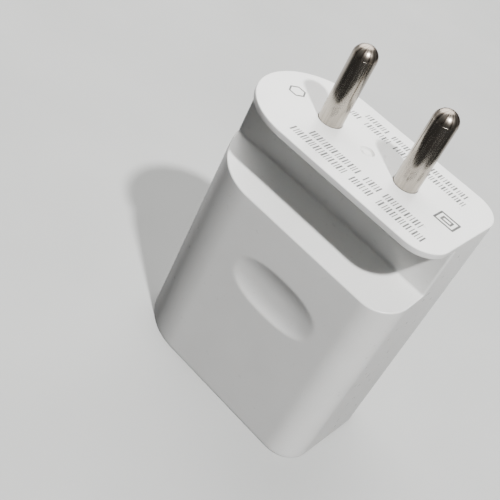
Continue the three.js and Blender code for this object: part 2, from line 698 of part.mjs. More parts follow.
function controller() {
  const { x, size, legs, legPitch, legReach, legWidth } = CONTROLLER;
  const z = TRANSFORMER_Z;
  const [, height, length] = size;
  const lowY = BOARD_BACK_Y + CHIP.gap;
  const pieces = [centredBlock([x, lowY + height / 2, z], size)];
  for (let i = 0; i < legs; i += 1) {
    const legX = x + (i - (legs - 1) / 2) * legPitch;
    pieces.push(block(
      [legX - legWidth / 2, lowY, z - length / 2 - legReach],
      [legX + legWidth / 2, lowY + legWidth, z + length / 2 + legReach],
    ));
  }
  return join(...pieces);
}

function chipResistor(index) {
  const { size, gap, pitch, x } = CHIP;
  const middleY = BOARD_BACK_Y + gap + size[1] / 2;
  return centredBlock([x, middleY, TRANSFORMER_Z + (index - 1) * pitch], size);
}

function circuitBoard() {
  const board = block(
    [BOARD_MIN_X, BOARD_FRONT_Y, BOARD_BOTTOM_Z],
    [BOARD_MAX_X, BOARD_BACK_Y, BOARD_TOP_Z],
  );
  const holes = boardHoles.map(([x, z, size]) => block(
    [x - LEAD.hole / 2, BOARD_FRONT_Y - OVER, z - size / 2],
    [x + LEAD.hole / 2, BOARD_BACK_Y + OVER, z + size / 2],
  ));
  return cut(board, ...holes);
}

// ---- Assembly ----
addPiece('housing', housing(), whiteShell());
addPiece('face_plate', facePlate(), turquoise());
['line', 'neutral'].forEach((name, i) => {
  addPiece(`${name}_pin`, mainsPin(PINS_X[i]), nickel());
  addPiece(`${name}_contact_leaf`, contactLeaf(PINS_X[i]), bronze());
});
PORTS_X.forEach((x, port) => {
  addPiece(`usb_shell_${port + 1}`, usbShell(x), tinned());
  addPiece(`usb_insulator_${port + 1}`, usbInsulator(x), blackPlastic());
  CONTACT.pitches.forEach((_, i) => {
    addPiece(`usb_contact_${port + 1}_${i + 1}`, usbContact(x, i), bronze());
  });
});
addPiece('transformer_core_lower', coreHalf(-1), ferrite());
addPiece('transformer_core_upper', coreHalf(1), ferrite());
addPiece('transformer_bobbin', bobbin(), blackPlastic());
addPiece('transformer_winding', transformerWinding(), tape());

const inputCapX = TRANSFORMER.x - CORE.width / 2 - CAP_GAP - CAP.radius;
const outputCapX = TRANSFORMER.x + CORE.width / 2 + CAP_GAP + CAP.radius;
for (const [name, x] of [['input', inputCapX], ['output', outputCapX]]) {
  for (const index of [0, 1]) {
    const z = CAP_BOTTOM_Z + index * CAP_SPACING;
    addPiece(`${name}_capacitor_can_${index + 1}`, capacitorCan(x, z), aluminium());
    addPiece(`${name}_capacitor_sleeve_${index + 1}`, capacitorSleeve(x, z), sleeveBlue());
  }
}
const bridgeX = BOARD_MIN_X + RIB.bite + BRIDGE.ribGap + BRIDGE.size[0] / 2;
addPiece('bridge_rectifier', mouldedPart(bridgeX, BRIDGE), blackPlastic());
addPiece('optocoupler', mouldedPart(OPTO.x, OPTO), blackPlastic());
addPiece('fusible_resistor', fusibleResistor(), resistorGreen());
addPiece('choke_core', chokeCore(), ferrite());
addPiece('choke_coil', chokeCoil(), copper());
addPiece('y_capacitor', yCapacitor(), ceramicBlue());
addPiece('rectifier_diode', rectifierDiode(), blackPlastic());
addPiece('controller_chip', controller(), blackPlastic());
for (const index of [0, 1, 2]) {
  addPiece(`chip_resistor_${index + 1}`, chipResistor(index), blackPlastic());
}
addPiece('circuit_board', circuitBoard(), laminate());

export default charger;
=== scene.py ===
"""Looks for the two-port USB wall charger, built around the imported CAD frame.

Shapes are worked out in millimetres, in the frame of the charger, and turned into metres when a
piece is finished. +Z runs to the mains pins, +X to the flat end and -Y to the finger notch.
"""

import json
import math

import bmesh
import bpy
from mathutils import Matrix, Vector


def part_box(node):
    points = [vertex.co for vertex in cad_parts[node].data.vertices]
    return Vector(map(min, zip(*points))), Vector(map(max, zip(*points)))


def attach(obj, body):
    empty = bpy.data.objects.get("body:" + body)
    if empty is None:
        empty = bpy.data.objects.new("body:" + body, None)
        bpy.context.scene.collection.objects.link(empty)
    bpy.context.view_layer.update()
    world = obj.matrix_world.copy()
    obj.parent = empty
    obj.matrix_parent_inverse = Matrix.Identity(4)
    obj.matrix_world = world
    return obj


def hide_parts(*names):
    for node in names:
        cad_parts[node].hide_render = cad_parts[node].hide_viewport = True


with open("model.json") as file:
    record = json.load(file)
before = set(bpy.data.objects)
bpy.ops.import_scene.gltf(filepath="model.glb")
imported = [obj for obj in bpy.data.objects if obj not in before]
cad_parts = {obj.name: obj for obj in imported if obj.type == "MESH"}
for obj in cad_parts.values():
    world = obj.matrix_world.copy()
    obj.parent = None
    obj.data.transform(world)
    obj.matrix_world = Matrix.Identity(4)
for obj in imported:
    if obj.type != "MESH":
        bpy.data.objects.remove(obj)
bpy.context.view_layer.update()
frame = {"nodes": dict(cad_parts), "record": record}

MM = 0.001
WHOLE_TURN = 2 * math.pi
QUARTER = math.pi / 2


def box_mm(node):
    low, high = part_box(node)
    return low / MM, high / MM


# ---- Sizes from the frame, in millimetres ----
HOUSING_HIGH = box_mm("housing")[1]
HALF_LENGTH = HOUSING_HIGH.x
HALF_DEPTH = HOUSING_HIGH.y
BODY_LENGTH = HOUSING_HIGH.z
FACE_LOW, FACE_HIGH = box_mm("face_plate")
PIN_LOW, PIN_HIGH = box_mm("line_pin")
PIN_RADIUS = (PIN_HIGH.x - PIN_LOW.x) / 2
PIN_TOP = PIN_HIGH.z
PIN_TAIL = PIN_LOW.z
PINS_X = [(box_mm(node)[0].x + box_mm(node)[1].x) / 2 for node in ("line_pin", "neutral_pin")]
SHELL_BOXES = [box_mm(f"usb_shell_{port}") for port in (1, 2)]
PORTS_X = [(low.x + high.x) / 2 for low, high in SHELL_BOXES]
BOARD_LOW, BOARD_HIGH = box_mm("circuit_board")

# ---- Sizes of the mouldings, in millimetres ----
CORNER_RADIUS = 6.3
SMALLEST_CORNER = 0.5
WALL = 2.2
RIM_WALL = 1.35
NOTCH_Y = -3.8
NOTCH_WALL = 1.5
LEDGE_FRONT_Z = BODY_LENGTH - 15.5
LEDGE_SLOPE = 0.24
LEDGE_BACK_Z = LEDGE_FRONT_Z + LEDGE_SLOPE * (HALF_DEPTH + NOTCH_Y)
LIP_Z = BODY_LENGTH - 1.3
ROUND_CENTRE_X = HALF_DEPTH - HALF_LENGTH
FLAT_END_X = HALF_LENGTH - CORNER_RADIUS
FLAT_MIDDLE_X = (ROUND_CENTRE_X + FLAT_END_X) / 2
# Dish is the power by which the finger mark's depth falls off, and tilt makes its lower side steeper
DIMPLE = {"length": 20.8, "height": 9.9, "depth": 0.7, "from_ledge": 13.7, "squareness": 2.4,
          "softness": 0.06, "dish": 2.6, "tilt": 0.6, "centre": 0.01}
TOP_WALL = 3.0
FACE_THICKNESS = 2.0
FACE_CLEARANCE = 0.15
FACE_BACK_Z = FACE_LOW.z + FACE_THICKNESS
SEAT_Z = FACE_BACK_Z + 0.3
SKIRT_INSET = WALL + 0.25
SKIRT_WALL = 1.1
SKIRT_HEIGHT = 2.4
SNAP = {"width": 5.0, "thickness": 1.0, "length": 6.6, "barb": 0.6, "barb_height": 1.6,
        "from_end": 0.1, "gap": 0.3, "spread": 18.0}
PORT_WIDTH = 12.8
PORT_HEIGHT = 5.5
PORT_CORNER = 1.0
PORT_Y = -0.7
SHANK_RADIUS = 2.0
SHANK_CHAMFER = 0.3
SHOULDER_CHAMFER = 0.1
PIN_SEAT = 1.2
PIN_DOME = 2.3
# Where the pin's side meets its dome: how far in, and how far below the dome's start
DOME_EDGE = ((0.0, 0.06), (0.01, 0.01))
DOME_INSET = 0.02
PIN_CLEARANCE = 0.1
BOSS_WALL = 1.6
BOSS_ABOVE_TAIL = 2.1
RIB = {"thickness": 1.4, "bite": 1.4, "gap": 0.2, "from_face": 11.6, "below_top": 9.4}
# The mark that the mould's gate leaves: radius and depth of each ring
GATE_RELIEF = ((0, 0.1), (0.8, 0.12), (1.05, 0.45), (1.25, 0.7), (1.4, 0.7), (1.5, 0.55), (1.52, 0.0))

# How far joined solids reach into each other, and how far cutting solids reach past a surface
OVERLAP = 0.5
CUT_PAST = 1.0

# Edge roundings
EDGE = {"top": 0.22, "lip": 0.2, "ledge": 0.28, "inner": 0.35, "neck": 0.5, "rim": 0.25,
        "rim_inside": 0.15, "plate": 0.16}
BEVEL_STEPS = 4
PLATE_BEVEL_STEPS = 3

# How finely round and flat surfaces are divided
CORNER_STEPS = 14
ROUND_END_STEPS = 72
TURNED_STEPS = 96
DOME_STEPS = 20
COLUMN_STEP = 0.55
DIMPLE_ROWS = 36
DIMPLE_MARGIN = 0.4
ROWS_BELOW_DIMPLE = (0.0, 1.5, SEAT_Z + 2, 12.0, 18.0)
ROWS_ABOVE_DIMPLE = (38.0, LEDGE_FRONT_Z - 1.5)
ON_FRONT = 1e-4


# ---- Meshes ----
def new_object(name, mesh):
    piece = bpy.data.objects.new(name, mesh)
    bpy.context.scene.collection.objects.link(piece)
    return piece


def object_from(name, bm):
    bmesh.ops.recalc_face_normals(bm, faces=bm.faces)
    mesh = bpy.data.meshes.new(name)
    bm.to_mesh(mesh)
    bm.free()
    return new_object(name, mesh)


def bake_modifiers(piece):
    """Keeps what the modifiers make as the piece's own mesh."""
    graph = bpy.context.evaluated_depsgraph_get()
    mesh = bpy.data.meshes.new_from_object(piece.evaluated_get(graph))
    piece.modifiers.clear()
    old = piece.data
    piece.data = mesh
    bpy.data.meshes.remove(old)


def combine(piece, others, operation):
    """Joins to or cuts from a piece, and removes the tools used."""
    for other in others:
        modifier = piece.modifiers.new(operation, "BOOLEAN")
        modifier.operation = operation
        modifier.solver = "EXACT"
        modifier.object = other
    bake_modifiers(piece)
    for other in others:
        mesh = other.data
        bpy.data.objects.remove(other)
        bpy.data.meshes.remove(mesh)
    return piece


def round_edges(piece, width, steps=BEVEL_STEPS, weighted=False, angle=35):
    modifier = piece.modifiers.new("rounding", "BEVEL")
    modifier.width = width
    modifier.segments = steps
    modifier.use_clamp_overlap = False
    modifier.miter_outer = "MITER_ARC"
    if weighted:
        modifier.limit_method = "WEIGHT"
    else:
        modifier.limit_method = "ANGLE"
        modifier.angle_limit = math.radians(angle)
    bake_modifiers(piece)


def smooth(piece, angle=34, weighted=True):
    """Smooth shading that breaks at edges sharper than the angle."""
    mesh = piece.data
    bm = bmesh.new()
    bm.from_mesh(mesh)
    for face in bm.faces:
        face.smooth = True
    for edge in bm.edges:
        edge.smooth = len(edge.link_faces) == 2 and edge.calc_face_angle() < math.radians(angle)
    bm.to_mesh(mesh)
    bm.free()
    if weighted:
        modifier = piece.modifiers.new("normals", "WEIGHTED_NORMAL")
        modifier.keep_sharp = True
        modifier.weight = 50


def finish_piece(piece, material, nodes=(), body="root"):
    """Turns a piece into metres, gives it its body and finish, and hides the CAD nodes that it stands
    for.
    """
    piece.data.transform(Matrix.Scale(MM, 4))
    piece.data.materials.clear()
    piece.data.materials.append(material)
    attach(piece, body)
    if nodes:
        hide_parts(*nodes)
    return piece


# ---- Outlines ----
def arc(x, y, radius, start, end, steps):
    turn = (end - start) / steps
    return [(x + radius * math.cos(start + turn * i), y + radius * math.sin(start + turn * i))
            for i in range(steps + 1)]


def between(start, end, step):
    """Points inside a straight stretch, without its two ends."""
    count = max(1, round(math.dist(start, end) / step))
    return [(start[0] + (end[0] - start[0]) * i / count, start[1] + (end[1] - start[1]) * i / count)
            for i in range(1, count)]


def section_sizes(inset):
    """The flat end's corner radius and centre, the round end's radius, and its turn to the notch."""
    corner = max(CORNER_RADIUS - inset, SMALLEST_CORNER)
    radius = HALF_DEPTH - inset
    return corner, HALF_LENGTH - inset - corner, radius - corner, radius, math.asin(-NOTCH_Y / radius)


def back_chain(inset):
    """The outline from the notch on the flat end, round the back, to the notch on the round end."""
    corner, x, y, radius, notch_turn = section_sizes(inset)
    return [(HALF_LENGTH - inset, NOTCH_Y),
            *arc(x, y, corner, 0, QUARTER, CORNER_STEPS),
            *arc(ROUND_CENTRE_X, 0, radius, QUARTER, math.pi + notch_turn, ROUND_END_STEPS)]


def front_chain(inset):
    """The rest of the outline: from the round end, along the front, back to the flat end."""
    corner, x, y, radius, notch_turn = section_sizes(inset)
    wall = [(ROUND_CENTRE_X, inset - HALF_DEPTH), (x, inset - HALF_DEPTH)]
    return [*arc(ROUND_CENTRE_X, 0, radius, math.pi + notch_turn, 3 * QUARTER, ROUND_END_STEPS // 2),
            *between(*wall, COLUMN_STEP),
            *arc(x, -y, corner, -QUARTER, 0, CORNER_STEPS),
            (HALF_LENGTH - inset, NOTCH_Y)]


def section(inset):
    return back_chain(inset) + front_chain(inset)[1:-1]


def rounded_rectangle(x, y, width, height, radius, steps=8):
    px = width / 2 - radius
    py = height / 2 - radius
    corners = [(px, -py, -QUARTER), (px, py, 0), (-px, py, QUARTER), (-px, -py, math.pi)]
    return [point for dx, dy, start in corners
            for point in arc(x + dx, y + dy, radius, start, start + QUARTER, steps)]


# ---- Simple solids, used to cut and join ----
def add_prism(bm, outline, low_z, high_z):
    low = [bm.verts.new((x, y, low_z)) for x, y in outline]
    high = [bm.verts.new((x, y, high_z)) for x, y in outline]
    count = len(outline)
    bm.faces.new(reversed(low))
    bm.faces.new(high)
    for i in range(count):
        j = (i + 1) % count
        bm.faces.new((low[i], low[j], high[j], high[i]))


def prism(name, outline, low_z, high_z):
    bm = bmesh.new()
    add_prism(bm, outline, low_z, high_z)
    return object_from(name, bm)


def add_block(bm, low, high):
    outline = [(low[0], low[1]), (high[0], low[1]), (high[0], high[1]), (low[0], high[1])]
    add_prism(bm, outline, low[2], high[2])


def blocks(name, corners):
    bm = bmesh.new()
    for low, high in corners:
        add_block(bm, low, high)
    return object_from(name, bm)


def add_turned(bm, profile, steps, x, y):
    """A turned solid about an upright axis; its profile of (radius, height) starts and ends on it."""
    rings = []
    for radius, z in profile:
        if radius == 0:
            rings.append([bm.verts.new((x, y, z))])
        else:
            rings.append([bm.verts.new((px, py, z))
                          for px, py in arc(x, y, radius, 0, WHOLE_TURN, steps)[:-1]])
    for lower, upper in zip(rings, rings[1:]):
        for i in range(steps):
            j = (i + 1) % steps
            corners = [lower[i % len(lower)], lower[j % len(lower)],
                       upper[j % len(upper)], upper[i % len(upper)]]
            bm.faces.new(list(dict.fromkeys(corners)))


def turned(name, profiles):
    bm = bmesh.new()
    for profile, x, y in profiles:
        add_turned(bm, profile, TURNED_STEPS, x, y)
    return object_from(name, bm)


# ---- Housing ----
def ledge_z(y):
    return LEDGE_FRONT_Z + LEDGE_SLOPE * (y + HALF_DEPTH)


def dimple_depth(x, z):
    """How far the soft oval finger mark is sunk into the front wall; its lower side is the steeper."""
    power = DIMPLE["squareness"]
    softness = DIMPLE["softness"]
    along = abs(x - FLAT_MIDDLE_X) / (DIMPLE["length"] / 2)
    up = (z - LEDGE_FRONT_Z + DIMPLE["from_ledge"]) / (DIMPLE["height"] / 2)
    outward = (along ** power + abs(up) ** power) ** (1 / power)
    if outward >= 1:
        return 0.0
    dish = DIMPLE["dish"] - DIMPLE["tilt"] * up / max(outward, DIMPLE["centre"])
    inside = 1 - outward ** dish
    return DIMPLE["depth"] * (1 + softness) * inside ** 2 / (inside + softness)


def wall_levels():
    """Heights of the wall's rows of points, close together across the finger mark."""
    middle = LEDGE_FRONT_Z - DIMPLE["from_ledge"]
    reach = DIMPLE["height"] / 2 + DIMPLE_MARGIN
    dimple_rows = [middle - reach + 2 * reach * i / DIMPLE_ROWS for i in range(DIMPLE_ROWS + 1)]
    return [*ROWS_BELOW_DIMPLE, *dimple_rows, *ROWS_ABOVE_DIMPLE]


def housing_shell():
    """The outer skin with the mouth for the face plate, as one closed solid."""
    bm = bmesh.new()
    weight = bm.edges.layers.float.new("bevel_weight_edge")
    back = back_chain(0)
    front = front_chain(0)
    ring = back + front[1:-1]
    count = len(ring)
    last_back = len(back) - 1

    def row(points, heights):
        return [bm.verts.new((x, y, z)) for (x, y), z in zip(points, heights)]

    def skin(lower, upper, closed):
        for i in range(len(lower) if closed else len(lower) - 1):
            j = (i + 1) % len(lower)
            bm.faces.new((lower[i], lower[j], upper[j], upper[i]))

    def mark(loop, width, closed):
        for i in range(len(loop) if closed else len(loop) - 1):
            edge = bm.edges.get((loop[i], loop[(i + 1) % len(loop)]))
            edge[weight] = width

    levels = []
    for z in wall_levels():
        verts = row(ring, [z] * count)
        for vert in verts:
            if abs(vert.co.y + HALF_DEPTH) < ON_FRONT:
                vert.co.y += dimple_depth(vert.co.x, z)
        levels.append(verts)
    ledge = row(ring, [ledge_z(y) if i >= last_back or i == 0 else LEDGE_BACK_Z
                       for i, (x, y) in enumerate(ring)])
    lip = row(ring, [LIP_Z] * count)
    top = row(ring, [BODY_LENGTH] * count)
    for lower, upper in zip(levels, levels[1:]):
        skin(lower, upper, True)
    skin(levels[-1], ledge, True)
    skin(ledge[:last_back + 1], lip[:last_back + 1], False)
    skin(lip, top, True)

    ledge_front = ledge[last_back:] + ledge[:1]
    lip_front = lip[last_back:] + lip[:1]
    bm.faces.new(ledge_front)
    bm.faces.new(list(reversed(lip_front)))
    bm.faces.new((ledge[last_back], ledge[0], lip[0], lip[last_back]))
    bm.faces.new(top)

    inner_points = section(RIM_WALL)
    rim = row(inner_points, [0.0] * len(inner_points))
    seat = row(inner_points, [SEAT_Z] * len(inner_points))
    skin(rim, levels[0], True)
    skin(seat, rim, True)
    bm.faces.new(seat)

    mark(top, EDGE["top"], True)
    mark(lip_front, EDGE["lip"], False)
    mark(ledge_front, EDGE["ledge"], False)
    mark([ledge[last_back], ledge[0]], EDGE["inner"], False)
    mark([lip[last_back], lip[0]], EDGE["inner"], False)
    mark([ledge[0], lip[0]], EDGE["neck"], False)
    mark([ledge[last_back], lip[last_back]], EDGE["neck"], False)
    mark(levels[0], EDGE["rim"], True)
    mark(rim, EDGE["rim_inside"], True)
    return object_from("housing_moulding", bm)


def round_end_x(inset, y):
    radius = HALF_DEPTH - inset
    return ROUND_CENTRE_X - math.sqrt(max(radius * radius - y * y, 0))


def board_rib_blocks():
    """Four ribs that hold the long edges of the circuit board."""
    low_z = FACE_BACK_Z + RIB["from_face"]
    high_z = BODY_LENGTH - RIB["below_top"]
    front = (BOARD_LOW.y - RIB["gap"] - RIB["thickness"], BOARD_LOW.y - RIB["gap"])
    back = (BOARD_HIGH.y + RIB["gap"], BOARD_HIGH.y + RIB["gap"] + RIB["thickness"])
    corners = []
    for low_y, high_y in (front, back):
        corners.append(((BOARD_HIGH.x - RIB["bite"], low_y, low_z),
                        (HALF_LENGTH - WALL + RIB["gap"], high_y, high_z)))
        corners.append(((round_end_x(WALL - RIB["gap"], low_y), low_y, low_z),
                        (BOARD_LOW.x + RIB["bite"], high_y, high_z)))
    return corners


def snap_blocks(inner, outer, low_z, high_z, width):
    """One block beside the flat wall at each of the four snap arms, by distance from the middle."""
    corners = []
    for side in (-1, 1):
        for end in (-1, 1):
            x = FLAT_MIDDLE_X + end * SNAP["spread"] / 2
            low_y, high_y = sorted((side * inner, side * outer))
            corners.append(((x - width / 2, low_y, low_z), (x + width / 2, high_y, high_z)))
    return corners


def inner_room():
    """The hollow of the housing, without the ribs and pin bosses that stand in it."""
    ceiling = BODY_LENGTH - TOP_WALL
    room_top = LEDGE_FRONT_Z - WALL
    room = prism("room", section(WALL), SEAT_Z - OVERLAP, room_top)
    neck = prism("neck_room", section(WALL), room_top - OVERLAP, ceiling)
    neck_front = blocks("neck_front", [((-HALF_LENGTH, -HALF_DEPTH, room_top - 2 * OVERLAP),
                                        (HALF_LENGTH, NOTCH_Y + NOTCH_WALL, ceiling + OVERLAP))])
    combine(neck, [neck_front], "DIFFERENCE")
    combine(room, [neck], "UNION")
    boss_radius = SHANK_RADIUS + BOSS_WALL
    boss_low = PIN_TAIL + BOSS_ABOVE_TAIL
    boss_high = ceiling + OVERLAP
    boss = [(0, boss_low), (boss_radius, boss_low), (boss_radius, boss_high), (0, boss_high)]
    bosses = turned("bosses", [(boss, x, 0) for x in PINS_X])
    combine(room, [blocks("ribs", board_rib_blocks()), bosses], "DIFFERENCE")
    return room


def pin_holes():
    shoulder = BODY_LENGTH - PIN_SEAT - PIN_CLEARANCE
    inner = SHANK_RADIUS + PIN_CLEARANCE
    outer = PIN_RADIUS + PIN_CLEARANCE
    low = PIN_TAIL - CUT_PAST
    high = BODY_LENGTH + CUT_PAST
    profile = [(0, low), (inner, low), (inner, shoulder), (outer, shoulder), (outer, high), (0, high)]
    return turned("pin_holes", [(profile, x, 0) for x in PINS_X])


def gate_mark():
    """The shallow round mark that the mould's gate leaves in the middle of the socket face."""
    top = BODY_LENGTH + CUT_PAST
    profile = [(radius, BODY_LENGTH - depth) for radius, depth in GATE_RELIEF]
    profile += [(GATE_RELIEF[-1][0], top), (0, top)]
    return turned("gate_mark", [(profile, 0, 0)])


def make_housing(material):
    piece = housing_shell()
    # The edges' weights are widths in millimetres, so the full width is one
    round_edges(piece, 1.0, weighted=True)
    barb_top = FACE_BACK_Z + SNAP["length"] - SNAP["from_end"]
    pockets = blocks("pockets", snap_blocks(
        HALF_DEPTH - WALL - CUT_PAST, HALF_DEPTH - SKIRT_INSET + SNAP["barb"] + SNAP["gap"],
        barb_top - SNAP["barb_height"] - SNAP["gap"], barb_top + SNAP["gap"],
        SNAP["width"] + 2 * SNAP["gap"]))
    combine(piece, [inner_room(), pockets, pin_holes(), gate_mark()], "DIFFERENCE")
    smooth(piece)
    return finish_piece(piece, material, ["housing"])


# ---- Face plate ----
def make_face_plate(material):
    plate = prism("face_plate_moulding", section(RIM_WALL + FACE_CLEARANCE), FACE_LOW.z, FACE_BACK_Z)
    openings = bmesh.new()
    for x in PORTS_X:
        add_prism(openings, rounded_rectangle(x, PORT_Y, PORT_HEIGHT, PORT_WIDTH, PORT_CORNER),
                  FACE_LOW.z - CUT_PAST, FACE_HIGH.z + CUT_PAST)
    combine(plate, [object_from("openings", openings)], "DIFFERENCE")
    round_edges(plate, EDGE["plate"], steps=PLATE_BEVEL_STEPS, angle=60)
    skirt_top = FACE_BACK_Z + SKIRT_HEIGHT
    skirt = prism("skirt", section(SKIRT_INSET), FACE_BACK_Z - OVERLAP, skirt_top)
    hollow = prism("skirt_hollow", section(SKIRT_INSET + SKIRT_WALL),
                   FACE_LOW.z - CUT_PAST, skirt_top + CUT_PAST)
    combine(skirt, [hollow], "DIFFERENCE")
    outer = HALF_DEPTH - SKIRT_INSET
    arms = blocks("arms", snap_blocks(outer - SNAP["thickness"], outer, FACE_BACK_Z - OVERLAP,
                                      FACE_BACK_Z + SNAP["length"], SNAP["width"]))
    barb_top = FACE_BACK_Z + SNAP["length"] - SNAP["from_end"]
    barbs = blocks("barbs", snap_blocks(outer - SNAP["thickness"] / 2, outer + SNAP["barb"],
                                        barb_top - SNAP["barb_height"], barb_top, SNAP["width"]))
    combine(plate, [skirt, arms, barbs], "UNION")
    smooth(plate)
    return finish_piece(plate, material, ["face_plate"])


# ---- Mains pins ----
def make_pin(name, node, x, material):
    """A turned pin: its shank in the housing, its shoulder, its straight part and its domed tip."""
    shoulder = BODY_LENGTH - PIN_SEAT
    profile = [(0, PIN_TAIL), (SHANK_RADIUS - SHANK_CHAMFER, PIN_TAIL),
               (SHANK_RADIUS, PIN_TAIL + SHANK_CHAMFER), (SHANK_RADIUS, shoulder),
               (PIN_RADIUS - SHOULDER_CHAMFER, shoulder), (PIN_RADIUS, shoulder + SHOULDER_CHAMFER)]
    dome_start = PIN_TOP - PIN_DOME
    profile += [(PIN_RADIUS - inward, dome_start - below) for inward, below in DOME_EDGE]
    crown = PIN_RADIUS - DOME_INSET
    for i in range(DOME_STEPS):
        turn = QUARTER * i / DOME_STEPS
        profile.append((crown * math.cos(turn), dome_start + PIN_DOME * math.sin(turn)))
    profile.append((0, PIN_TOP))
    piece = turned(name, [(profile, 0, 0)])
    smooth(piece, angle=30, weighted=False)
    piece.location.x = x * MM
    return finish_piece(piece, material, [node])


# ---- Printed and moulded marks on the socket face ----
def add_outline(bm, outer, inner, low_z, high_z):
    """A flat closed band between two outlines with the same number of points."""
    rings = [[bm.verts.new((x, y, z)) for x, y in points]
             for points, z in ((outer, low_z), (outer, high_z), (inner, high_z), (inner, low_z))]
    count = len(outer)
    for ring, following in zip(rings, rings[1:] + rings[:1]):
        for i in range(count):
            j = (i + 1) % count
            bm.faces.new((ring[i], ring[j], following[j], following[i]))


INK = {"thickness": 0.03, "sunk": 0.01}
# Rows of plain upright bars: middle in Y, start in X, height, and the length of each group along X
PRINTED_ROWS = [
    (-10.4, 20.6, 2.0, (10.6, 4.8, 12.6)),
    (-7.5, 18.2, 2.0, (8.2, 3.6, 11.6)),
    (7.7, 18.6, 1.7, (9.8,)),
    (10.3, 17.6, 1.7, (8.4,)),
    (7.7, 4.8, 1.7, (3.4, 6.2, 3.0)),
    (10.3, 3.8, 1.7, (4.6, 5.4)),
]
BAR_WIDTHS = (0.30, 0.17, 0.17, 0.34, 0.17, 0.26)
BAR_GAPS = (0.34, 0.46, 0.30, 0.38, 0.52)
GROUP_GAP = 1.5


def make_printed_marks(material):
    """Groups of plain upright bars in rows; they spell nothing."""
    bm = bmesh.new()
    low_z = BODY_LENGTH - INK["sunk"]
    high_z = low_z + INK["thickness"]
    count = 0
    for y, x, height, groups in PRINTED_ROWS:
        for length in groups:
            group_end = x - length
            while x > group_end:
                width = BAR_WIDTHS[count % len(BAR_WIDTHS)]
                add_block(bm, (x - width, y - height / 2, low_z), (x, y + height / 2, high_z))
                x -= width + BAR_GAPS[count % len(BAR_GAPS)]
                count += 1
            x = group_end - GROUP_GAP
    piece = object_from("printed_bars", bm)
    return finish_piece(piece, material)


# Plain outlined marks: middle in X and Y, and the sizes of the rectangles or the ring's radius
NESTED_MARK = {"x": 19.7, "y": -0.5, "sizes": ((4.6, 3.4), (2.5, 1.5)), "line": 0.44,
               "outer_corner": 0.15, "inner_corner": 0.05, "corner_steps": 3}
RING_MARK = {"x": -18.5, "y": 0.2, "radius": 1.9, "sides": 6, "line": 0.4}


def make_outlined_marks(material):
    """A plain nested pair of rectangles and a plain six-sided ring."""
    bm = bmesh.new()
    low_z = BODY_LENGTH - INK["sunk"]
    high_z = low_z + INK["thickness"]
    x, y, line, steps = (NESTED_MARK[key] for key in ("x", "y", "line", "corner_steps"))
    for width, height in NESTED_MARK["sizes"]:
        outer = rounded_rectangle(x, y, width, height, NESTED_MARK["outer_corner"], steps)
        inner = rounded_rectangle(x, y, width - 2 * line, height - 2 * line,
                                  NESTED_MARK["inner_corner"], steps)
        add_outline(bm, outer, inner, low_z, high_z)
    x, y, radius, sides, line = (RING_MARK[key] for key in ("x", "y", "radius", "sides", "line"))
    add_outline(bm, arc(x, y, radius, 0, WHOLE_TURN, sides)[:-1],
                arc(x, y, radius - line, 0, WHOLE_TURN, sides)[:-1], low_z, high_z)
    piece = object_from("outlined_marks", bm)
    return finish_piece(piece, material)


# ---- Materials ----
# Most of a noise's values lie in this range
NOISE_RANGE = (0.3, 0.7)
# Sizes of the slow ripple and the uneven gloss of a moulding, and how light spreads inside it
RIPPLE = {"size": 14.0, "depth": 0.03}
GLOSS_PATCH = 1.6
SCATTER = {"radius": (0.9, 0.8, 0.7), "scale": 0.6}
# The pins' streaks: how fine they are along and round the pin, and where the worn tip starts and ends;
# the tip's darker brown colour is partly wear and partly painted reflection
PLATING = {"along": 22, "around": 7, "detail": 1.5, "tip_start": PIN_TOP - PIN_DOME - 0.6,
           "tip_end": PIN_TOP - 1.6, "tip_roughness": 0.11, "roughness": (0.13, 0.24), "depth": 0.02}


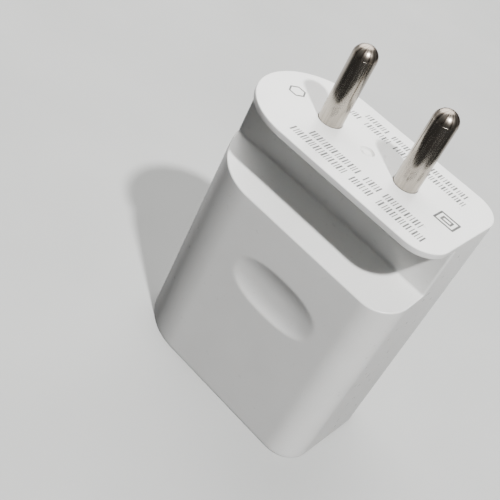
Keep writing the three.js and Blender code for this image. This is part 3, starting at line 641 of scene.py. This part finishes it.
class Nodes:
    """Short ways to add shader nodes to one material."""

    def __init__(self, name):
        self.material = bpy.data.materials.new(name)
        self.material.use_nodes = True
        self.tree = self.material.node_tree
        self.shader = self.tree.nodes["Principled BSDF"]
        self.place = self.add("ShaderNodeTexCoord").outputs["Object"]

    def add(self, kind, **settings):
        node = self.tree.nodes.new(kind)
        for name, value in settings.items():
            setattr(node, name, value)
        return node

    def link(self, source, target):
        self.tree.links.new(source, target)

    def stretched(self, scale):
        node = self.add("ShaderNodeMapping")
        node.inputs["Scale"].default_value = scale
        self.link(self.place, node.inputs["Vector"])
        return node.outputs["Vector"]

    def noise(self, size, detail=3, stretch=None):
        """Noise whose features are about size millimetres across."""
        node = self.add("ShaderNodeTexNoise")
        node.inputs["Scale"].default_value = 1 / (size * MM)
        node.inputs["Detail"].default_value = detail
        self.link(self.stretched(stretch) if stretch else self.place, node.inputs["Vector"])
        return node.outputs["Fac"]

    def spread(self, value, low, high):
        node = self.add("ShaderNodeMapRange")
        node.inputs["From Min"].default_value = NOISE_RANGE[0]
        node.inputs["From Max"].default_value = NOISE_RANGE[1]
        node.inputs["To Min"].default_value = low
        node.inputs["To Max"].default_value = high
        self.link(value, node.inputs["Value"])
        return node.outputs["Result"]

    def fade(self, value, start, end, low=0.0, high=1.0):
        """Goes smoothly from low to high between two places, in millimetres."""
        node = self.add("ShaderNodeMapRange", interpolation_type="SMOOTHSTEP")
        for name, number in (("From Min", start * MM), ("From Max", end * MM),
                             ("To Min", low), ("To Max", high)):
            node.inputs[name].default_value = number
        self.link(value, node.inputs["Value"])
        return node.outputs["Result"]

    def mix(self, factor, first, second):
        node = self.add("ShaderNodeMix", data_type="RGBA")
        for name, source in (("Factor", factor), ("A", first), ("B", second)):
            self.link(source, node.inputs[name])
        return node.outputs["Result"]

    def ramp(self, value, low, high):
        node = self.add("ShaderNodeValToRGB")
        first, last = node.color_ramp.elements
        first.position, last.position = NOISE_RANGE
        first.color = (*low, 1)
        last.color = (*high, 1)
        self.link(value, node.inputs["Fac"])
        return node.outputs["Color"]

    def bump(self, height, depth, strength=1.0, below=None):
        """Relief of depth millimetres."""
        node = self.add("ShaderNodeBump")
        node.inputs["Distance"].default_value = depth * MM
        node.inputs["Strength"].default_value = strength
        self.link(height, node.inputs["Height"])
        if below:
            self.link(below, node.inputs["Normal"])
        return node.outputs["Normal"]


def plastic(name, low, high, roughness, mottle=9.0, grain=0.12, grain_depth=0.002,
            scatter=0.0):
    """Moulded plastic: mottled colour, uneven gloss, a slow ripple and a fine grain."""
    n = Nodes(name)
    n.link(n.ramp(n.noise(mottle, 5), low, high), n.shader.inputs["Base Color"])
    n.link(n.spread(n.noise(GLOSS_PATCH, 6), *roughness), n.shader.inputs["Roughness"])
    wavy = n.bump(n.noise(RIPPLE["size"], 1), RIPPLE["depth"])
    n.link(n.bump(n.noise(grain, 4), grain_depth, below=wavy), n.shader.inputs["Normal"])
    if scatter:
        n.shader.inputs["Subsurface Weight"].default_value = scatter
        n.shader.inputs["Subsurface Radius"].default_value = SCATTER["radius"]
        n.shader.inputs["Subsurface Scale"].default_value = SCATTER["scale"] * MM
    return n.material


def metal(name, low, high, roughness, stretch=(1, 1, 0.12), grain=0.5, grain_depth=0.0008,
          mottle=2.5):
    """Drawn metal: mottled colour, with gloss and grain that run along Z."""
    n = Nodes(name)
    n.link(n.ramp(n.noise(mottle, 5), low, high), n.shader.inputs["Base Color"])
    n.link(n.spread(n.noise(grain * 2, 5, stretch), *roughness), n.shader.inputs["Roughness"])
    n.link(n.bump(n.noise(grain, 4, stretch), grain_depth), n.shader.inputs["Normal"])
    n.shader.inputs["Metallic"].default_value = 1.0
    return n.material


def pin_plating():
    """Nickel with streaks along the pin that fan out over its worn tip, whose darker brown colour is
    partly wear and partly painted reflection; its axis is at X = Y = 0.
    """
    n = Nodes("nickel_plating")
    split = n.add("ShaderNodeSeparateXYZ")
    n.link(n.place, split.inputs["Vector"])
    flat = n.add("ShaderNodeVectorMath", operation="MULTIPLY")
    flat.inputs[1].default_value = (1, 1, 0)
    n.link(n.place, flat.inputs[0])
    outward = n.add("ShaderNodeVectorMath", operation="NORMALIZE")
    n.link(flat.outputs["Vector"], outward.inputs[0])
    rise = n.add("ShaderNodeVectorMath", operation="MULTIPLY_ADD")
    rise.inputs[1].default_value = (0, 0, PLATING["along"])
    n.link(n.place, rise.inputs[0])
    n.link(outward.outputs["Vector"], rise.inputs[2])
    noise = n.add("ShaderNodeTexNoise")
    noise.inputs["Scale"].default_value = PLATING["around"]
    noise.inputs["Detail"].default_value = PLATING["detail"]
    n.link(rise.outputs["Vector"], noise.inputs["Vector"])
    streaks = noise.outputs["Fac"]
    tip = n.fade(split.outputs["Z"], PLATING["tip_start"], PLATING["tip_end"])
    rough = n.add("ShaderNodeMath", operation="MULTIPLY_ADD")
    rough.inputs[1].default_value = PLATING["tip_roughness"]
    n.link(tip, rough.inputs[0])
    n.link(n.spread(streaks, *PLATING["roughness"]), rough.inputs[2])
    n.link(rough.outputs["Value"], n.shader.inputs["Roughness"])
    side = n.ramp(streaks, (0.33, 0.30, 0.26), (0.44, 0.405, 0.355))
    # Darker brown tip colour: partly wear, partly a painted reflection of the surroundings on the dome
    worn_tip_and_painted_reflection = n.ramp(streaks, (0.15, 0.115, 0.09), (0.46, 0.41, 0.35))
    n.link(n.mix(tip, side, worn_tip_and_painted_reflection), n.shader.inputs["Base Color"])
    n.link(n.bump(streaks, PLATING["depth"]), n.shader.inputs["Normal"])
    n.shader.inputs["Metallic"].default_value = 1.0
    return n.material


def make_materials():
    return {
        "white_shell": plastic("white_moulded_plastic", (0.79, 0.79, 0.775), (0.83, 0.83, 0.815),
                               (0.27, 0.36), scatter=0.12),
        "turquoise_face": plastic("turquoise_satin_plastic", (0.03, 0.245, 0.3), (0.04, 0.28, 0.34),
                                  (0.42, 0.52), mottle=5.0, grain=0.16, grain_depth=0.006),
        "nickel_pin": pin_plating(),
        "bronze_spring": metal("bronze_spring_strip", (0.62, 0.40, 0.18), (0.74, 0.50, 0.25),
                               (0.22, 0.36)),
        "tinned_steel": metal("tinned_steel_sheet", (0.62, 0.62, 0.60), (0.72, 0.72, 0.70),
                              (0.2, 0.34)),
        "black_plastic": plastic("black_moulded_plastic", (0.010, 0.010, 0.011), (0.018, 0.018, 0.019),
                                 (0.36, 0.5)),
        "ferrite": plastic("grey_ferrite", (0.03, 0.031, 0.033), (0.055, 0.056, 0.06), (0.6, 0.8),
                           mottle=0.8, grain=0.3, grain_depth=0.02),
        "winding_tape": plastic("yellow_polyester_tape", (0.62, 0.42, 0.03), (0.74, 0.53, 0.06),
                                (0.25, 0.4), mottle=3.0, grain=0.6, grain_depth=0.01),
        "capacitor_can": metal("aluminium_can", (0.72, 0.73, 0.74), (0.82, 0.83, 0.84), (0.25, 0.38)),
        "capacitor_sleeve": plastic("blue_shrink_sleeve", (0.01, 0.035, 0.13), (0.015, 0.05, 0.17),
                                    (0.2, 0.3), mottle=4.0),
        "board_laminate": plastic("brown_laminate", (0.20, 0.12, 0.035), (0.27, 0.17, 0.055),
                                  (0.45, 0.6), mottle=1.6, grain=0.4, grain_depth=0.01),
        "copper_wire": metal("enamelled_copper", (0.42, 0.14, 0.05), (0.55, 0.21, 0.08), (0.2, 0.3)),
        "ceramic_coating": plastic("blue_ceramic_coating", (0.02, 0.13, 0.38), (0.03, 0.17, 0.46),
                                   (0.3, 0.45), mottle=1.2, grain=0.5, grain_depth=0.02),
        "resistor_coating": plastic("green_resistor_coating", (0.09, 0.24, 0.13), (0.13, 0.31, 0.17),
                                    (0.5, 0.65), mottle=1.5, grain=0.5, grain_depth=0.02),
    }


def printed_ink():
    return plastic("grey_ink", (0.05, 0.05, 0.05), (0.11, 0.11, 0.105), (0.5, 0.65), mottle=0.6)


# ---- Pieces kept from the frame ----
REFINED_NODES = {"housing", "face_plate", "line_pin", "neutral_pin"}
INNER_EDGE = {"weld": 0.001, "width": 0.06, "steps": 2, "angle": 40}


def dress_inner_nodes(materials):
    """Each remaining CAD node gets its finish, softened edges and smooth round faces."""
    for row in frame["record"]["subparts"]:
        if row["node"] in REFINED_NODES:
            continue
        piece = frame["nodes"][row["node"]]
        piece.data.materials.clear()
        piece.data.materials.append(materials[row["material_slot"]])
        for polygon in piece.data.polygons:
            polygon.use_smooth = True
        weld = piece.modifiers.new("weld", "WELD")
        weld.merge_threshold = INNER_EDGE["weld"] * MM
        rounding = piece.modifiers.new("rounding", "BEVEL")
        rounding.width = INNER_EDGE["width"] * MM
        rounding.segments = INNER_EDGE["steps"]
        rounding.limit_method = "ANGLE"
        rounding.angle_limit = math.radians(INNER_EDGE["angle"])
        normals = piece.modifiers.new("normals", "WEIGHTED_NORMAL")
        normals.keep_sharp = True


# ---- Floor, light and camera ----
FLOOR_RADIUS = 900
FLOOR_EDGES = 128
# How much light the floor throws back, from low to high along a direction, between two distances
BOUNCE = {"direction": (-0.5, 0.866, 0), "start": -10, "end": 120, "low": 0.015, "high": 0.4}
# Name, direction from the charger, distance and size in metres, watts and colour
LIGHTS = (
    ("key", (0.464, -0.307, 0.831), 1.6, 0.09, 56, (1.0, 0.995, 0.985)),
    ("top_soft", (-0.48, 0.5, 0.72), 0.9, 1.1, 16, (1.0, 0.99, 0.97)),
    ("left_fill", (-0.95, 0.0, 0.3), 1.2, 0.9, 1.2, (0.99, 1.0, 1.0)),
)
AIR = {"low": (0.2, 0.2, 0.195, 1), "high": (0.9, 0.92, 0.94, 1), "high_at": 0.8, "strength": 0.2}
BACKDROP = (0.82, 0.825, 0.82, 1)


def make_floor():
    bm = bmesh.new()
    edge = arc(0, 0, FLOOR_RADIUS, 0, WHOLE_TURN, FLOOR_EDGES)[:-1]
    bm.faces.new([bm.verts.new((x, y, 0)) for x, y in edge])
    floor = object_from("studio_floor", bm)
    floor.data.transform(Matrix.Scale(MM, 4))
    floor.data.materials.append(pale_floor())


def pale_floor():
    """Pale paper that throws little light back from the front, as with a black card laid there."""
    n = Nodes("pale_floor")
    paper = n.ramp(n.noise(60.0, 4), (0.40, 0.405, 0.40), (0.44, 0.445, 0.44))
    along = n.add("ShaderNodeVectorMath", operation="DOT_PRODUCT")
    along.inputs[1].default_value = BOUNCE["direction"]
    n.link(n.place, along.inputs[0])
    card = n.fade(along.outputs["Value"], BOUNCE["start"], BOUNCE["end"], BOUNCE["low"], BOUNCE["high"])
    bounce = n.add("ShaderNodeCombineColor")
    for channel in ("Red", "Green", "Blue"):
        n.link(card, bounce.inputs[channel])
    seen = n.add("ShaderNodeLightPath").outputs["Is Camera Ray"]
    n.link(n.mix(seen, bounce.outputs["Color"], paper), n.shader.inputs["Base Color"])
    n.link(n.bump(n.noise(0.8, 4), 0.02), n.shader.inputs["Normal"])
    n.shader.inputs["Roughness"].default_value = 0.75
    n.shader.inputs["Specular IOR Level"].default_value = 0.2
    return n.material


def area_light(name, direction, distance, size, watts, colour):
    light = bpy.data.lights.new(name, "AREA")
    light.shape = "DISK"
    light.size = size
    light.energy = watts
    light.color = colour
    lamp = bpy.data.objects.new(name, light)
    bpy.context.scene.collection.objects.link(lamp)
    away = Vector(direction).normalized()
    target = Vector((0, 0, BODY_LENGTH * MM / 2))
    lamp.location = target + away * distance
    lamp.rotation_euler = away.to_track_quat("Z", "Y").to_euler()


def make_lights():
    for light in LIGHTS:
        area_light(*light)
    world = bpy.data.worlds.new("studio_air")
    bpy.context.scene.world = world
    world.use_nodes = True
    tree = world.node_tree
    direction = tree.nodes.new("ShaderNodeTexCoord")
    split = tree.nodes.new("ShaderNodeSeparateXYZ")
    ramp = tree.nodes.new("ShaderNodeValToRGB")
    low, high = ramp.color_ramp.elements
    low.position, high.position = 0.0, AIR["high_at"]
    low.color = AIR["low"]
    high.color = AIR["high"]
    tree.links.new(direction.outputs["Generated"], split.inputs["Vector"])
    tree.links.new(split.outputs["Z"], ramp.inputs["Fac"])
    air = tree.nodes["Background"]
    tree.links.new(ramp.outputs["Color"], air.inputs["Color"])
    air.inputs["Strength"].default_value = AIR["strength"]
    backdrop = tree.nodes.new("ShaderNodeBackground")
    backdrop.inputs["Color"].default_value = BACKDROP
    mix = tree.nodes.new("ShaderNodeMixShader")
    tree.links.new(tree.nodes.new("ShaderNodeLightPath").outputs["Is Camera Ray"], mix.inputs["Fac"])
    tree.links.new(air.outputs["Background"], mix.inputs[1])
    tree.links.new(backdrop.outputs["Background"], mix.inputs[2])
    tree.links.new(mix.outputs["Shader"], tree.nodes["World Output"].inputs["Surface"])


# The photograph's view: it looks along this azimuth and elevation, rolled about the line of sight
CAMERA = {"azimuth": 24.82, "elevation": 37.24, "roll": 28.08, "target": (-11.52, 0, 23.06),
          "distance": 195.98, "lens": 66.98, "sensor": 36, "near": 5}


def make_camera():
    lens = bpy.data.cameras.new("view_camera")
    lens.sensor_width = CAMERA["sensor"]
    lens.lens = CAMERA["lens"]
    lens.clip_start = CAMERA["near"] * MM
    camera = bpy.data.objects.new("view_camera", lens)
    bpy.context.scene.collection.objects.link(camera)
    azimuth = math.radians(CAMERA["azimuth"])
    elevation = math.radians(CAMERA["elevation"])
    back = Vector((math.sin(azimuth) * math.cos(elevation),
                   -math.cos(azimuth) * math.cos(elevation),
                   math.sin(elevation)))
    right = Vector((math.cos(azimuth), math.sin(azimuth), 0))
    turn = Matrix((right, back.cross(right), back)).transposed().to_4x4()
    roll = Matrix.Rotation(math.radians(CAMERA["roll"]), 4, "Z")
    position = (Vector(CAMERA["target"]) + back * CAMERA["distance"]) * MM
    camera.matrix_world = Matrix.Translation(position) @ turn @ roll
    bpy.context.scene.camera = camera


make_camera()
make_lights()
make_floor()
materials = make_materials()
ink = printed_ink()
make_housing(materials["white_shell"])
make_face_plate(materials["turquoise_face"])
make_pin("line_pin_turned", "line_pin", PINS_X[0], materials["nickel_pin"])
make_pin("neutral_pin_turned", "neutral_pin", PINS_X[1], materials["nickel_pin"])
make_printed_marks(ink)
make_outlined_marks(ink)
dress_inner_nodes(materials)
